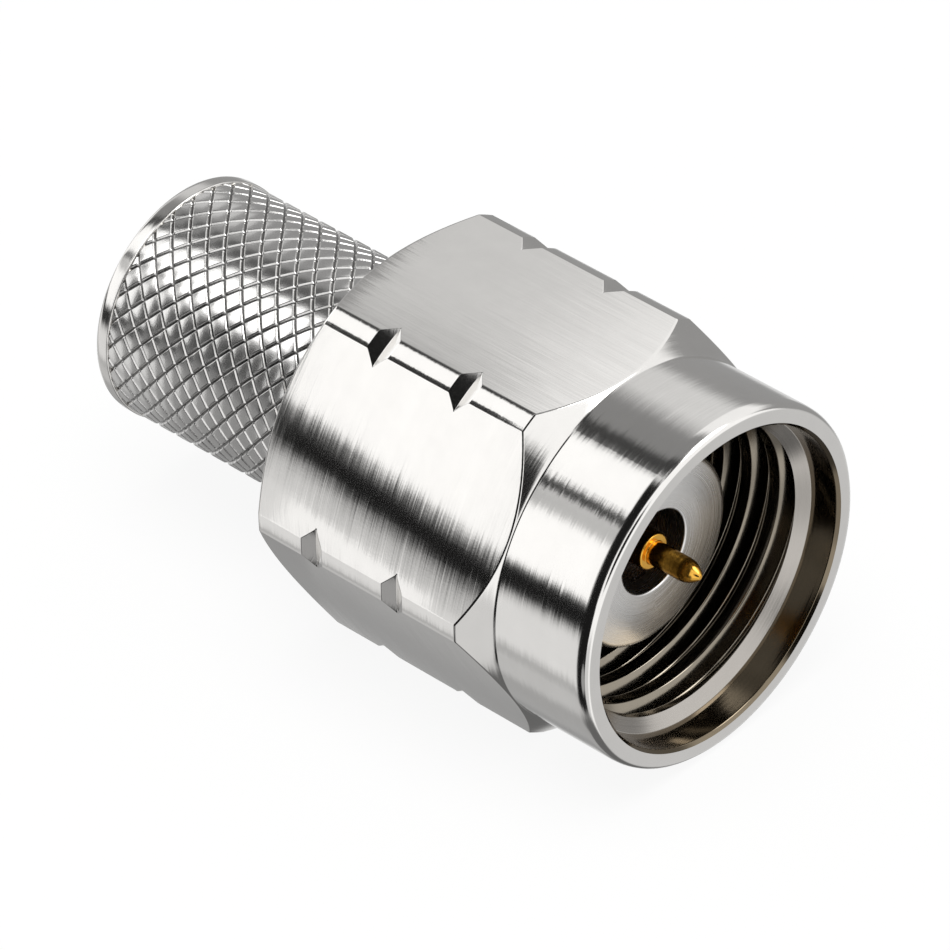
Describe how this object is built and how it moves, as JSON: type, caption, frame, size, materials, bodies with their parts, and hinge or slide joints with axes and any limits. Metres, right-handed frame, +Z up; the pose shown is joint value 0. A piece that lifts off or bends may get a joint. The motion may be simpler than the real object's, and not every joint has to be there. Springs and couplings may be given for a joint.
{
  "type": "coaxial termination",
  "caption": "Male coaxial load with a free-turning hexagon coupling nut, a gold contact pin in an air bore and a diamond-knurled rear sleeve.",
  "frame": {"origin": "centre of the mating plane, where the outer and the inner conductor end", "axes": "+X along the axis towards the mating end, +Z up, with the part lying on a flat of the nut"},
  "size_m": [0.0148, 0.009, 0.008],
  "materials": {
    "nut_steel": "turned and ground bright",
    "ferrule_steel": "fine turned",
    "sleeve_steel": "knurled, satin",
    "gold_plate": "gold plated, polished",
    "inner_brass": "turned",
    "spring_bronze": "turned",
    "spring_steel": "drawn",
    "bead_polymer": "smooth amber polymer",
    "resistor_ceramic": "dull resistive film"
  },
  "bodies": {
    "load_body": {"outer_conductor": "ferrule_steel", "centre_pin": "gold_plate", "bead_ring": "inner_brass", "support_bead": "bead_polymer", "contact_socket": "gold_plate", "clamp_bushing": "inner_brass", "load_housing": "inner_brass", "resistor_rod": "resistor_ceramic", "front_cap": "gold_plate", "rear_cap": "gold_plate", "ground_collet": "spring_bronze", "lock_ring": "inner_brass", "spring_seat": "spring_steel", "load_spring": "spring_steel", "knurled_sleeve": "sleeve_steel"},
    "ring": {"retaining_ring": "spring_bronze"},
    "nut": {"coupling_nut": "nut_steel"}
  },
  "joints": [
    {"name": "nut_float", "type": "slide", "parent": "load_body", "child": "ring", "axis": [1, 0, 0], "range_m": [-0.0001, 0.0001]},
    {"name": "nut_turn", "type": "hinge", "parent": "ring", "child": "nut", "pos_m": [-0.00335, 0, 0], "axis": [1, 0, 0], "continuous": true}
  ]
}
